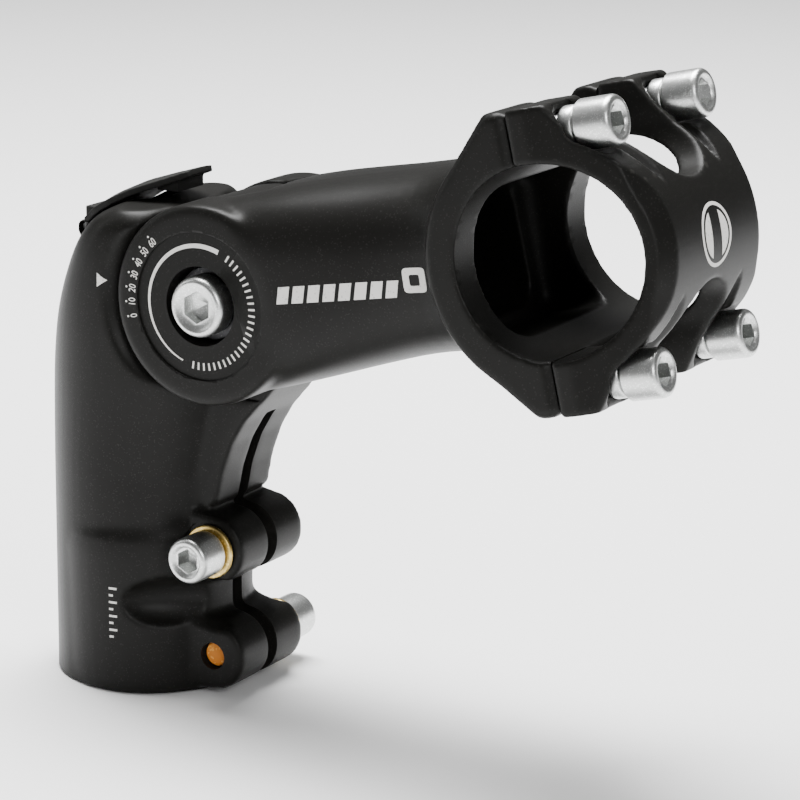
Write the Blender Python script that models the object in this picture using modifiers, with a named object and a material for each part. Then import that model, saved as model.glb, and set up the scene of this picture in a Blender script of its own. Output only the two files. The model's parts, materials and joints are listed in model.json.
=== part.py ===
"""Angle-adjustable bicycle handlebar stem, built as separate solids.

Frame: origin on the steerer axis at the underside of the clamp, +Z up the steerer,
+X forward to the handlebar, -Y on the side of the bolt heads. Lengths are in metres.
"""
import math

import bmesh
import bpy
from mathutils import Vector

MM = 0.001
GAP = 0.3 * MM

# Steerer clamp
TUBE_R = 18.0 * MM
STEERER_BORE_R = 14.35 * MM
STEERER_BORE_DEPTH = 44.0 * MM
CLAMP_BOLT_X = 19.6 * MM
UPPER_BOLT_Z = 27.2 * MM
LOWER_BOLT_Z = 7.3 * MM
LUG_R = 6.3 * MM
LUG_FACE_Y = 10.3 * MM
SLIT_HALF = 1.5 * MM
SLIT_TOP_Z = 51.5 * MM
ACCESS_R = 6.0 * MM
ACCESS_X = -2.6 * MM

# Pivot and fork
PIVOT_X = 23.0 * MM
PIVOT_Z = 73.8 * MM
ARM_ANGLE = math.radians(13.5)
EAR_R = 17.7 * MM
EAR_FACE_Y = 18.9 * MM
EAR_FLAT_Y = 18.7 * MM
POCKET_R = 18.4 * MM
POCKET_MOUTH = 12.0 * MM
TONGUE_R = 17.3 * MM
TONGUE_HALF = 8.2 * MM
WEB_HALF = 8.8 * MM
FORK_SLOT_R = 20.6 * MM

# Handlebar clamp, measured along the arm from the pivot
ARM_LENGTH = 70.4 * MM
BAR_R = 15.9 * MM
CLAMP_HALF = 23.0 * MM
CLAMP_R = 22.0 * MM
SEAT_N = 25.0 * MM
PARTING = -1.9 * MM
PARTING_HALF_GAP = 0.25 * MM
PLATE_BOLT_Y = 15.8 * MM
PLATE_BOLT_N = 20.4 * MM
BOSS_FRONT = 4.8 * MM
BOSS_R = 5.0 * MM
CAP_R = 20.1 * MM
CAP_TAPER = math.radians(18.0)
WINDOW_R = 9.2 * MM
BRIDGE_HALF = 8.6 * MM

# Screws
M5_R = 2.45 * MM
M5_HOLE_R = 2.8 * MM
M5_HEAD_R = 4.15 * MM
M5_HEAD_LENGTH = 6.6 * MM
M5_HEX_R = 2.3 * MM
COLLAR_R = 3.5 * MM
COLLAR_LENGTH = 2.9 * MM
M8_R = 3.9 * MM
PIVOT_HOLE_R = 4.3 * MM
PIVOT_HEAD_R = 5.35 * MM
PIVOT_SEAT_R = 7.0 * MM
PIVOT_SEAT_Y = 14.0 * MM
NUT_R = 7.5 * MM
BUSH_R = 6.0 * MM
DETENT_R = 11.5 * MM
DETENT_TEETH = 36

# Top cover, hinged at its rear edge
# Crown line of the flap in millimetres: x, z, half width
COVER_SPINE = (
    (-8.6, 85.0, 9.0),
    (-6.2, 87.3, 9.2),
    (-3.0, 89.2, 9.0),
    (0.8, 90.9, 8.2),
    (5.2, 92.3, 6.6),
    (10.4, 93.9, 4.0),
)
COVER_CAMBER = 1.0
COVER_COLUMNS = 9
COVER_THICKNESS = 1.2 * MM
COVER_HINGE = (-8.4 * MM, 82.4 * MM)
COVER_BARREL_R = 1.9 * MM
COVER_BARREL_HALF = 6.5 * MM
COVER_PIN_R = 0.9 * MM

SIDES = 56


def clear_scene():
    for item in list(bpy.data.objects):
        bpy.data.objects.remove(item, do_unlink=True)
    for group in list(bpy.data.collections):
        bpy.data.collections.remove(group)


def new_collection(name):
    group = bpy.data.collections.new(name)
    bpy.context.scene.collection.children.link(group)
    return group


clear_scene()
PARTS = new_collection("handlebar_stem")
TOOLS = new_collection("cutters")


def make_material(name, colour, roughness, metallic):
    material = bpy.data.materials.new(name)
    material.use_nodes = True
    shader = material.node_tree.nodes["Principled BSDF"]
    shader.inputs["Base Color"].default_value = (*colour, 1.0)
    shader.inputs["Roughness"].default_value = roughness
    shader.inputs["Metallic"].default_value = metallic
    return material


def make_empty(name, location, rotation):
    empty = bpy.data.objects.new(name, None)
    empty.location = location
    empty.rotation_euler = rotation
    PARTS.objects.link(empty)
    return empty


def add_object(name, mesh, group, parent=None, location=(0, 0, 0), rotation=(0, 0, 0)):
    item = bpy.data.objects.new(name, mesh)
    item.parent = parent
    item.location = location
    item.rotation_euler = rotation
    group.objects.link(item)
    return item


def as_part(item, material):
    """Move an object to the parts and give it its own material."""
    for group in list(item.users_collection):
        group.objects.unlink(item)
    PARTS.objects.link(item)
    item.hide_render = False
    item.display_type = "TEXTURED"
    item.data.materials.append(material)
    item.data.shade_smooth()
    item.data.set_sharp_from_angle(angle=math.radians(35))
    return item


def as_tool(item):
    item.hide_render = True
    item.display_type = "WIRE"
    return item


def mesh_from(bm, name):
    bmesh.ops.recalc_face_normals(bm, faces=bm.faces)
    mesh = bpy.data.meshes.new(name)
    bm.to_mesh(mesh)
    bm.free()
    return mesh


AXIS_TURN = {
    "X": (0, math.pi / 2, 0),
    "Y": (-math.pi / 2, 0, 0),
    "-Y": (math.pi / 2, 0, 0),
    "Z": (0, 0, 0),
}


def cylinder(name, radius, low, high, centre, axis="Y", parent=None, sides=SIDES, top_radius=None):
    """Solid cylinder or cone from low to high along an axis through centre."""
    bm = bmesh.new()
    end_radius = radius if top_radius is None else top_radius
    bmesh.ops.create_cone(bm, cap_ends=True, segments=sides, radius1=radius,
                          radius2=end_radius, depth=high - low)
    bmesh.ops.translate(bm, verts=bm.verts, vec=(0, 0, (low + high) / 2))
    item = add_object(name, mesh_from(bm, name), TOOLS, parent, centre, AXIS_TURN[axis])
    return as_tool(item)


def box(name, low, high, parent=None, rounding=0.0, segments=3):
    """Solid box between two corners, with all its edges rounded if asked."""
    size = Vector(high) - Vector(low)
    middle = (Vector(high) + Vector(low)) / 2
    bm = bmesh.new()
    bmesh.ops.create_cube(bm, size=1.0)
    bmesh.ops.scale(bm, verts=bm.verts, vec=size)
    item = add_object(name, mesh_from(bm, name), TOOLS, parent, middle)
    if rounding:
        bevel = item.modifiers.new("round", "BEVEL")
        bevel.width = rounding
        bevel.segments = segments
    return as_tool(item)


PLATE_TURN = {
    "X": (math.pi / 2, 0, math.pi / 2),
    "Y": (math.pi / 2, 0, 0),
    "Z": (0, 0, 0),
}


def plate(name, outline, low, high, parent=None, axis="Y"):
    """Flat outline drawn out along an axis: XZ points along Y, YZ along X, XY along Z."""
    curve = bpy.data.curves.new(name, "CURVE")
    curve.dimensions = "2D"
    curve.fill_mode = "BOTH"
    curve.extrude = (high - low) / 2
    spline = curve.splines.new("POLY")
    spline.points.add(len(outline) - 1)
    for point, (first, second) in zip(spline.points, outline):
        point.co = (first, second, 0, 1)
    spline.use_cyclic_u = True
    drawn = bpy.data.objects.new(name + "_curve", curve)
    TOOLS.objects.link(drawn)
    graph = bpy.context.evaluated_depsgraph_get()
    mesh = bpy.data.meshes.new_from_object(drawn.evaluated_get(graph))
    bpy.data.objects.remove(drawn, do_unlink=True)
    bm = bmesh.new()
    bm.from_mesh(mesh)
    bmesh.ops.remove_doubles(bm, verts=bm.verts, dist=0.00001)
    bpy.data.meshes.remove(mesh)
    item = add_object(name, mesh_from(bm, name), TOOLS, parent, (0, 0, 0), PLATE_TURN[axis])
    item.location["XYZ".index(axis)] = (low + high) / 2
    return as_tool(item)


def arc(centre, radius, start, end, count):
    """Points along a circular arc, with the angles in degrees."""
    points = []
    for step in range(count + 1):
        angle = math.radians(start + (end - start) * step / count)
        points.append((centre[0] + radius * math.cos(angle),
                       centre[1] + radius * math.sin(angle)))
    return points


def superellipse(half_a, half_b, power, count):
    """Points of a rounded rectangle, from an ellipse at power 2 to squarer above it."""
    points = []
    for step in range(count):
        angle = 2 * math.pi * step / count
        cos_a = math.cos(angle)
        sin_a = math.sin(angle)
        a = half_a * math.copysign(abs(cos_a) ** (2 / power), cos_a)
        b = half_b * math.copysign(abs(sin_a) ** (2 / power), sin_a)
        points.append((a, b))
    return points


def eased(rows, steps):
    """Rows of a table with more between them, on a smooth curve through each column."""
    smooth = []
    for index in range(len(rows) - 1):
        before = rows[max(index - 1, 0)]
        start = rows[index]
        end = rows[index + 1]
        after = rows[min(index + 2, len(rows) - 1)]
        for step in range(steps):
            t = step / steps
            weights = ((-t + 2 * t ** 2 - t ** 3) / 2, (2 - 5 * t ** 2 + 3 * t ** 3) / 2,
                       (t + 4 * t ** 2 - 3 * t ** 3) / 2, (t ** 3 - t ** 2) / 2)
            columns = zip(before, start, end, after)
            smooth.append([sum(w * v for w, v in zip(weights, column)) for column in columns])
    smooth.append(list(rows[-1]))
    return smooth


def loft(name, sections, parent=None):
    """Solid skinned over closed rings that all have the same number of points."""
    bm = bmesh.new()
    rings = [[bm.verts.new(point) for point in section] for section in sections]
    count = len(rings[0])
    for lower, upper in zip(rings, rings[1:]):
        for index in range(count):
            after = (index + 1) % count
            bm.faces.new((lower[index], lower[after], upper[after], upper[index]))
    bm.faces.new(rings[0])
    bm.faces.new(rings[-1])
    return as_tool(add_object(name, mesh_from(bm, name), TOOLS, parent))


def turned(name, profile, location, axis="Z", parent=None, steps=32):
    """Solid of revolution; the profile runs down the outer side as (radius, height)."""
    bm = bmesh.new()
    points = [bm.verts.new((radius, 0, height)) for radius, height in profile]
    for first, second in zip(points, points[1:]):
        bm.edges.new((first, second))
    if profile[0][0] > 0:
        bm.edges.new((points[-1], points[0]))
    mesh = bpy.data.meshes.new(name)
    bm.to_mesh(mesh)
    bm.free()
    item = add_object(name, mesh, TOOLS, parent, location, AXIS_TURN[axis])
    screw = item.modifiers.new("turn", "SCREW")
    screw.steps = steps
    screw.render_steps = steps
    screw.use_merge_vertices = True
    screw.merge_threshold = 0.00001
    return as_tool(item)


def combine(target, tools, operation):
    for tool in tools:
        modifier = target.modifiers.new(tool.name, "BOOLEAN")
        modifier.operation = operation
        modifier.solver = "EXACT"
        modifier.object = tool
    return target


def fuse(target, *tools):
    return combine(target, tools, "UNION")


def cut(target, *tools):
    return combine(target, tools, "DIFFERENCE")


BLACK = (0.012, 0.012, 0.012)
ZINC = (0.62, 0.63, 0.62)


def black_metal(name):
    return make_material(name, BLACK, 0.42, 0.6)


def zinc(name):
    return make_material(name, ZINC, 0.3, 1.0)


PIVOT = (PIVOT_X, 0, PIVOT_Z)
PIVOT_FRAME = make_empty("pivot_frame", PIVOT, (0, 0, 0))
ARM_FRAME = make_empty("arm_frame", PIVOT, (0, -ARM_ANGLE, 0))


# ---------------------------------------------------------------- steerer clamp

# Rings of the clamp above its straight tube: height, back x, front x, half width, power
SHOULDER_RINGS = (
    (0.0, -18.0, 18.0, 18.0, 2.0),
    (40.0, -18.0, 18.0, 18.0, 2.0),
    (50.0, -17.7, 20.0, 18.0, 2.1),
    (59.0, -16.8, 22.0, 18.1, 2.3),
    (67.5, -15.0, 21.0, 18.2, 2.5),
    (75.0, -12.3, 19.0, 18.2, 2.6),
    (81.5, -8.9, 16.0, 18.0, 2.6),
    (85.8, -4.6, 13.0, 17.4, 2.6),
    (88.1, 0.2, 10.0, 15.4, 2.5),
)


def clamp_shell():
    """Tube that swells into the two cheeks around the fork's ears."""
    sections = []
    rings = [SHOULDER_RINGS[0]] + eased(SHOULDER_RINGS[1:], 3)
    for height, back, front, half_width, power in rings:
        middle = (back + front) / 2
        outline = superellipse((front - back) / 2, half_width, power, SIDES)
        sections.append([((middle + a) * MM, b * MM, height * MM) for a, b in outline])
    return loft("clamp_shell", sections)


def tongue():
    """Middle web of the clamp, which the fork straddles."""
    outline = arc((PIVOT_X, PIVOT_Z), TONGUE_R, 200, -58, 30)
    outline += [(28.6 * MM, 54.8 * MM), (25.2 * MM, 51.0 * MM), (22.6 * MM, 46.6 * MM),
                (20.6 * MM, 41.0 * MM), (19.4 * MM, 35.0 * MM), (0, 33.0 * MM),
                (-2.0 * MM, 66.0 * MM)]
    return plate("tongue", outline, -WEB_HALF, WEB_HALF)


def clamp_lug(name, bolt_z):
    outline = arc((CLAMP_BOLT_X, bolt_z), LUG_R, 90, -90, 18)
    outline += [(9.0 * MM, bolt_z - 7.2 * MM), (9.0 * MM, bolt_z + 7.2 * MM)]
    return plate(name, outline, -LUG_FACE_Y, LUG_FACE_Y)


def pocket(name, side):
    """Round seat for one ear, open to the front and the top."""
    corner = math.degrees(math.acos(-POCKET_MOUTH / POCKET_R))
    outline = arc((PIVOT_X, PIVOT_Z), POCKET_R, corner, 270, 36)
    outline += [(60 * MM, PIVOT_Z - POCKET_R), (60 * MM, 120 * MM),
                (PIVOT_X - POCKET_MOUTH, 120 * MM)]
    ends = sorted((side * TONGUE_HALF, side * 30 * MM))
    return plate(name, outline, ends[0], ends[1])


def clamp_bolt_tools(name, bolt_z, head_side):
    """Clearance hole with a spot face under the head, and a tapped hole beyond the slit."""
    centre = (CLAMP_BOLT_X, 0, bolt_z)
    hole = cylinder(name + "_hole", M5_HOLE_R, -30 * MM, 30 * MM, centre, sides=28)
    ends = sorted((head_side * LUG_FACE_Y, head_side * 30 * MM))
    seat = cylinder(name + "_seat", 5.6 * MM, ends[0], ends[1], centre, sides=36)
    return hole, seat


def build_steerer_clamp():
    body = clamp_shell()
    fuse(body, tongue(), clamp_lug("upper_lug", UPPER_BOLT_Z), clamp_lug("lower_lug", LOWER_BOLT_Z))
    cut(body, pocket("pocket_near", -1), pocket("pocket_far", 1))
    cut(body, cylinder("steerer_bore", STEERER_BORE_R, -1 * MM, STEERER_BORE_DEPTH,
                       (0, 0, 0), "Z"))
    cut(body, cylinder("access_hole", ACCESS_R, STEERER_BORE_DEPTH - 1 * MM, 110 * MM,
                       (ACCESS_X, 0, 0), "Z", sides=36))
    cut(body, box("slit", (9 * MM, -SLIT_HALF, -1 * MM), (40 * MM, SLIT_HALF, SLIT_TOP_Z)))
    cut(body, cylinder("bush_hole", BUSH_R + GAP, -20 * MM, 20 * MM, PIVOT, sides=40))
    cut(body, *clamp_bolt_tools("upper_bolt", UPPER_BOLT_Z, -1))
    cut(body, *clamp_bolt_tools("lower_bolt", LOWER_BOLT_Z, 1))
    for side in (-1, 1):
        ends = sorted((side * (TONGUE_HALF - 1.5 * MM), side * 20 * MM))
        cut(body, cylinder("detent_seat", DETENT_R + GAP, ends[0], ends[1], PIVOT, sides=48))
    hinge = (COVER_HINGE[0], 0, COVER_HINGE[1])
    reach = COVER_BARREL_HALF + GAP
    cut(body, cylinder("cover_groove", COVER_BARREL_R + 0.5 * MM, -reach, reach, hinge, sides=28))
    cut(body, cylinder("cover_pin_hole", COVER_PIN_R + GAP, -20 * MM, 20 * MM, hinge, sides=16))
    body.name = "steerer_clamp"
    as_part(body, black_metal("clamp_black"))


# ---------------------------------------------------------------- extension arm

# Sections along the arm from the pivot: distance, half height, half width, power, rise
ARM_SECTIONS = (
    (1.5, 17.3, 18.6, 5.0, 0.0),
    (9.0, 17.3, 19.2, 4.2, 0.2),
    (18.0, 17.0, 19.3, 3.6, 0.6),
    (28.0, 16.4, 18.8, 3.1, 0.9),
    (38.0, 15.9, 18.2, 2.8, 1.0),
    (47.0, 16.2, 18.8, 2.7, 0.7),
    (55.5, 18.4, 21.6, 2.9, 0.2),
)


def arm_beam():
    sections = []
    for reach, half_height, half_width, power, rise in eased(ARM_SECTIONS, 3):
        outline = superellipse(half_width, half_height, power, 48)
        sections.append([(reach * MM, a * MM, (b + rise) * MM) for a, b in outline])
    return loft("arm_beam", sections, ARM_FRAME)


def clamp_back():
    """Rear half of the handlebar clamp, with flats at the screw seats."""
    shoulder = 6.0 * MM
    face = ARM_LENGTH + PARTING - PARTING_HALF_GAP
    outline = [(face, -SEAT_N), (ARM_LENGTH - shoulder, -SEAT_N)]
    outline += arc((ARM_LENGTH, 0), CLAMP_R, 232, 128, 20)
    outline += [(ARM_LENGTH - shoulder, SEAT_N), (face, SEAT_N)]
    back = plate("clamp_back", outline, -CLAMP_HALF, CLAMP_HALF, ARM_FRAME)
    bevel = back.modifiers.new("soft_edges", "BEVEL")
    bevel.width = 1.0 * MM
    bevel.segments = 1
    bevel.limit_method = "ANGLE"
    bevel.angle_limit = math.radians(50)
    return back


def plate_bolt_places():
    for side_y, near in ((-1, "near"), (1, "far")):
        for side_n, level in ((1, "upper"), (-1, "lower")):
            yield f"{level}_{near}", side_y * PLATE_BOLT_Y, side_n * PLATE_BOLT_N


def bar_bore(name):
    return cylinder(name, BAR_R, -40 * MM, 40 * MM, (ARM_LENGTH, 0, 0), "Y", ARM_FRAME, 72)


def arm_hollow():
    """Cast hollow behind the handlebar, which shows through the bore."""
    deep = box("hollow_deep", (26 * MM, -13.0 * MM, -10.5 * MM),
               (52 * MM, 13.0 * MM, 11.5 * MM), ARM_FRAME, 4 * MM)
    mouth = box("hollow_mouth", (47 * MM, -16.0 * MM, -12.5 * MM),
                (64 * MM, 16.0 * MM, 12.5 * MM), ARM_FRAME, 3 * MM)
    return deep, mouth


def build_extension_arm():
    arm = arm_beam()
    for side in (-1, 1):
        ends = sorted((side * 5 * MM, side * EAR_FACE_Y))
        ear = cylinder("ear", EAR_R, ends[0], ends[1], (0, 0, 0), "Y", ARM_FRAME)
        bevel = ear.modifiers.new("soft_rim", "BEVEL")
        bevel.width = 1.2 * MM
        bevel.segments = 2
        bevel.limit_method = "ANGLE"
        bevel.angle_limit = math.radians(50)
        fuse(arm, ear)
    fuse(arm, clamp_back())
    slot_half = TONGUE_HALF + GAP
    cut(arm, cylinder("fork_slot", FORK_SLOT_R, -slot_half, slot_half, (0, 0, 0), "Y", ARM_FRAME))
    cut(arm, bar_bore("bar_bore_arm"), *arm_hollow())
    cut(arm, cylinder("pivot_hole", PIVOT_HOLE_R, -30 * MM, 30 * MM, (0, 0, 0), "Y",
                      ARM_FRAME, 36))
    cut(arm, cylinder("head_seat", PIVOT_SEAT_R, -30 * MM, -PIVOT_SEAT_Y, (0, 0, 0), "Y",
                      ARM_FRAME, 48))
    cut(arm, cylinder("nut_seat", NUT_R + GAP, PIVOT_SEAT_Y, 30 * MM, (0, 0, 0), "Y",
                      ARM_FRAME, 6))
    for side in (-1, 1):
        ends = sorted((side * EAR_FLAT_Y, side * 30 * MM))
        cut(arm, cylinder("ear_flat", 13.6 * MM, ends[0], ends[1], (0, 0, 0), "Y", ARM_FRAME))
    saddle = box("saddle", (ARM_LENGTH - 12 * MM, -9.2 * MM, 22.0 * MM),
                 (ARM_LENGTH + 5 * MM, 9.2 * MM, 40 * MM), ARM_FRAME)
    belly = box("belly", (ARM_LENGTH - 12 * MM, -9.2 * MM, -40 * MM),
                (ARM_LENGTH + 5 * MM, 9.2 * MM, -22.0 * MM), ARM_FRAME)
    cut(arm, saddle, belly)
    for place, y, n in plate_bolt_places():
        cut(arm, cylinder("tapped_" + place, M5_HOLE_R, 52 * MM, 75 * MM, (0, y, n), "X",
                          ARM_FRAME, 24))
    arm.name = "extension_arm"
    as_part(arm, black_metal("arm_black"))


# ---------------------------------------------------------------- faceplate

def side_wedge(side):
    """Tool that narrows the faceplate towards its front."""
    start = ARM_LENGTH + BOSS_FRONT - 3 * MM
    end = start + 30 * MM
    inner = CLAMP_HALF - 30 * MM * math.tan(CAP_TAPER)
    outline = [(start, side * CLAMP_HALF), (end, side * inner), (end, side * 40 * MM),
               (start, side * 40 * MM)]
    return plate("side_wedge", outline, -40 * MM, 40 * MM, ARM_FRAME, "Z")


def bridge_window(level):
    """Round-ended opening above or below the faceplate's bridge."""
    centre = level * (BRIDGE_HALF + WINDOW_R)
    outline = arc((0, centre), WINDOW_R, 0, -level * 180, 20)
    outline += [(-WINDOW_R, level * 40 * MM), (WINDOW_R, level * 40 * MM)]
    return plate("window", outline, 58 * MM, 110 * MM, ARM_FRAME, "X")


def build_faceplate():
    """Front half of the clamp: two hoops joined by a bridge, H-shaped from the front."""
    face = ARM_LENGTH + PARTING + PARTING_HALF_GAP
    front = ARM_LENGTH + BOSS_FRONT
    outline = [(face, SEAT_N), (front, SEAT_N), (front + 3.4 * MM, 20.2 * MM)]
    outline += arc((ARM_LENGTH, 0), CAP_R, 56, -56, 24)
    outline += [(front + 3.4 * MM, -20.2 * MM), (front, -SEAT_N), (face, -SEAT_N)]
    cap = plate("cap_outline", outline, -CLAMP_HALF, CLAMP_HALF, ARM_FRAME)
    cut(cap, side_wedge(-1), side_wedge(1))
    cut(cap, bar_bore("bar_bore_cap"), bridge_window(-1), bridge_window(1))
    for place, y, n in plate_bolt_places():
        cut(cap, cylinder("clear_" + place, M5_HOLE_R, 52 * MM, 85 * MM, (0, y, n), "X",
                          ARM_FRAME, 24))
        cut(cap, cylinder("seat_" + place, BOSS_R, front, 110 * MM, (0, y, n), "X",
                          ARM_FRAME, 36))
    cap.name = "faceplate"
    as_part(cap, black_metal("faceplate_black"))


# ---------------------------------------------------------------- screws and nut

def cap_screw(name, head_r, head_length, shank_r, shank_length, hex_r, location, axis, parent,
              crown=0.9 * MM):
    """Socket-head screw with its origin under the head and its head outward."""
    profile = [(0, head_length), (head_r - crown, head_length), (head_r, head_length - crown),
               (head_r, 0), (shank_r, 0), (shank_r, -shank_length), (0, -shank_length)]
    screw = turned(name, profile, location, axis, parent)
    socket = cylinder(name + "_socket", hex_r, head_length * 0.35, head_length * 2, location,
                      axis, parent, 6)
    cut(screw, socket)
    return as_part(screw, zinc(name + "_zinc"))


def collar(name, bore_r, outer_r, length, location, axis, parent, material):
    """Plain washer or spacer whose underside is at its origin."""
    profile = [(bore_r, length), (outer_r - 0.3 * MM, length), (outer_r, length - 0.3 * MM),
               (outer_r, 0.0), (bore_r, 0.0)]
    return as_part(turned(name, profile, location, axis, parent), material)


def build_faceplate_screws():
    seat = ARM_LENGTH + BOSS_FRONT + GAP
    for place, y, n in plate_bolt_places():
        collar("faceplate_washer_" + place, M5_R + GAP, COLLAR_R, COLLAR_LENGTH, (seat, y, n),
               "X", ARM_FRAME, zinc("faceplate_washer_" + place + "_zinc"))
        cap_screw("faceplate_bolt_" + place, M5_HEAD_R, M5_HEAD_LENGTH, M5_R, 18 * MM, M5_HEX_R,
                  (seat + COLLAR_LENGTH + GAP, y, n), "X", ARM_FRAME)


def build_clamp_screws():
    yellow = (0.55, 0.42, 0.16)
    seat = LUG_FACE_Y + GAP
    for level, height, side, axis in (("upper", UPPER_BOLT_Z, -1, "-Y"),
                                      ("lower", LOWER_BOLT_Z, 1, "Y")):
        metal = make_material(level + "_washer_yellow_zinc", yellow, 0.35, 1.0)
        washer_at = (CLAMP_BOLT_X, side * seat, height)
        collar(level + "_clamp_washer", M5_R + GAP, 4.9 * MM, 1.0 * MM, washer_at, axis, None,
               metal)
        head_at = (CLAMP_BOLT_X, side * (seat + 1.0 * MM + GAP), height)
        cap_screw(level + "_clamp_bolt", M5_HEAD_R, M5_HEAD_LENGTH, M5_R, 21 * MM, M5_HEX_R,
                  head_at, axis, None)


def build_pivot():
    """Pivot screw through the fork, its washer and nut, and the tongue's bush and rings."""
    washer_y = PIVOT_SEAT_Y + GAP
    head_y = washer_y + 1.2 * MM + GAP
    collar("pivot_washer", M8_R + GAP, 6.6 * MM, 1.2 * MM, (0, -washer_y, 0), "-Y", ARM_FRAME,
           zinc("pivot_washer_zinc"))
    cap_screw("pivot_bolt", PIVOT_HEAD_R, 4.3 * MM, M8_R, head_y + 19.4 * MM, 2.9 * MM,
              (0, -head_y, 0), "-Y", ARM_FRAME, crown=1.4 * MM)
    nut = cylinder("pivot_nut", NUT_R, 0, 4.6 * MM, (0, washer_y, 0), "Y", ARM_FRAME, 6)
    bevel = nut.modifiers.new("soft_edges", "BEVEL")
    bevel.width = 0.4 * MM
    cut(nut, cylinder("nut_thread", M8_R + GAP, -1 * MM, 8 * MM, (0, washer_y, 0), "Y",
                      ARM_FRAME, 32))
    as_part(nut, zinc("pivot_nut_zinc"))
    sleeve = [(M8_R + GAP, TONGUE_HALF), (BUSH_R, TONGUE_HALF), (BUSH_R, -TONGUE_HALF),
              (M8_R + GAP, -TONGUE_HALF)]
    bush = turned("pivot_bush", sleeve, (0, 0, 0), "Y", PIVOT_FRAME)
    as_part(bush, make_material("bush_bronze", (0.45, 0.29, 0.12), 0.4, 1.0))
    for side, label in ((-1, "near"), (1, "far")):
        detent_ring("detent_ring_" + label, side)


def detent_ring(name, side):
    """Steel ring sunk in the tongue, with fine radial teeth on its outer face."""
    base = TONGUE_HALF - 1.5 * MM + GAP
    floor = TONGUE_HALF - 0.6 * MM
    crest = TONGUE_HALF
    inner = BUSH_R + 0.8 * MM
    outer = DETENT_R
    bm = bmesh.new()
    rings = []
    for radius, kind in ((inner, "base"), (outer, "base"), (outer, "face"), (inner, "face")):
        ring = []
        for step in range(2 * DETENT_TEETH):
            angle = math.pi * step / DETENT_TEETH
            tooth = crest if step % 2 else floor
            level = base if kind == "base" else tooth
            ring.append(bm.verts.new((radius * math.cos(angle), side * level,
                                      radius * math.sin(angle))))
        rings.append(ring)
    count = 2 * DETENT_TEETH
    for first, second in zip(rings, rings[1:] + rings[:1]):
        for index in range(count):
            after = (index + 1) % count
            bm.faces.new((first[index], first[after], second[after], second[index]))
    ring = add_object(name, mesh_from(bm, name), TOOLS, PIVOT_FRAME)
    as_part(ring, make_material(name + "_steel", (0.4, 0.4, 0.4), 0.35, 1.0))


# ---------------------------------------------------------------- top cover

def build_cover():
    """Thin plastic flap over the access hole, hinged behind and lifted at the front."""
    hinge_x, hinge_z = COVER_HINGE
    frame = make_empty("cover_frame", (hinge_x, 0, hinge_z), (0, 0, 0))
    bm = bmesh.new()
    rows = []
    for x, z, half in COVER_SPINE:
        row = []
        for step in range(COVER_COLUMNS):
            across = -1 + 2 * step / (COVER_COLUMNS - 1)
            droop = COVER_CAMBER * (across * half / COVER_SPINE[0][2]) ** 2
            row.append(bm.verts.new((x * MM - hinge_x, across * half * MM,
                                     (z - droop) * MM - hinge_z)))
        rows.append(row)
    for first, second in zip(rows, rows[1:]):
        for index in range(COVER_COLUMNS - 1):
            bm.faces.new((first[index], second[index], second[index + 1], first[index + 1]))
    sheet = add_object("top_cover", mesh_from(bm, "top_cover"), TOOLS, frame)
    shell = sheet.modifiers.new("thickness", "SOLIDIFY")
    shell.thickness = COVER_THICKNESS
    shell.offset = -1.0
    shell.use_even_offset = True
    barrel = cylinder("cover_barrel", COVER_BARREL_R, -COVER_BARREL_HALF, COVER_BARREL_HALF,
                      (0, 0, 0), "Y", frame, 24)
    web = box("cover_web", (-1.4 * MM, -COVER_BARREL_HALF, 0.4 * MM),
              (0.8 * MM, COVER_BARREL_HALF, 3.4 * MM), frame)
    catch = box("cover_catch", (12.6 * MM, -4 * MM, 7.4 * MM), (17.0 * MM, 4 * MM, 9.6 * MM), frame)
    fuse(sheet, barrel, web, catch)
    cut(sheet, cylinder("cover_pin_clearance", COVER_PIN_R + GAP, -20 * MM, 20 * MM, (0, 0, 0),
                        "Y", frame, 16))
    as_part(sheet, make_material("cover_plastic", (0.02, 0.02, 0.02), 0.6, 0.0))
    pin = turned("cover_pin", [(0, 8 * MM), (COVER_PIN_R, 8 * MM), (COVER_PIN_R, -8 * MM),
                               (0, -8 * MM)], (hinge_x, 0, hinge_z), "Y", None, 16)
    as_part(pin, zinc("cover_pin_steel"))


build_steerer_clamp()
build_extension_arm()
build_faceplate()
build_faceplate_screws()
build_clamp_screws()
build_pivot()
build_cover()
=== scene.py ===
"""Looks for an angle-adjustable bicycle handlebar stem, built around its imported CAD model."""

import json
import math

import bmesh
import bpy
from mathutils import Matrix, Vector
from mathutils.bvhtree import BVHTree


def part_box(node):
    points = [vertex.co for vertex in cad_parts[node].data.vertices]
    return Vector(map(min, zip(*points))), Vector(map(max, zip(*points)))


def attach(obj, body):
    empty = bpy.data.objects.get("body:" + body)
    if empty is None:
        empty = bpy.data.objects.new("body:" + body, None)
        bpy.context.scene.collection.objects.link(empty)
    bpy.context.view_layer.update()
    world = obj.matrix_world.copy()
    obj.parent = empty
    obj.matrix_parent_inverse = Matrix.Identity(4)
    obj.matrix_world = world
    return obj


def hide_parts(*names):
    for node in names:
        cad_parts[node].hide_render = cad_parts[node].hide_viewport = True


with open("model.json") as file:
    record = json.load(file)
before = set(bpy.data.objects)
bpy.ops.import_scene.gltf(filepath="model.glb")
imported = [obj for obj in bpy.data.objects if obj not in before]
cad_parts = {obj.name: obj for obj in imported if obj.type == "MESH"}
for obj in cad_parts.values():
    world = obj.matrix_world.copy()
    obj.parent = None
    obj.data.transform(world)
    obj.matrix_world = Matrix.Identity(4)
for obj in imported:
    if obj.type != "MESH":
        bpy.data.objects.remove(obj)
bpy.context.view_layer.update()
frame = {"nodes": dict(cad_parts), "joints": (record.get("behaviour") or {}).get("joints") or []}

# ------------------------------------------------------------------ studio
# A long lens looks down on the bolt-head side from a little in front.
# Floor and walls are one pale tone, with large soft boxes above and at both sides.

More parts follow.
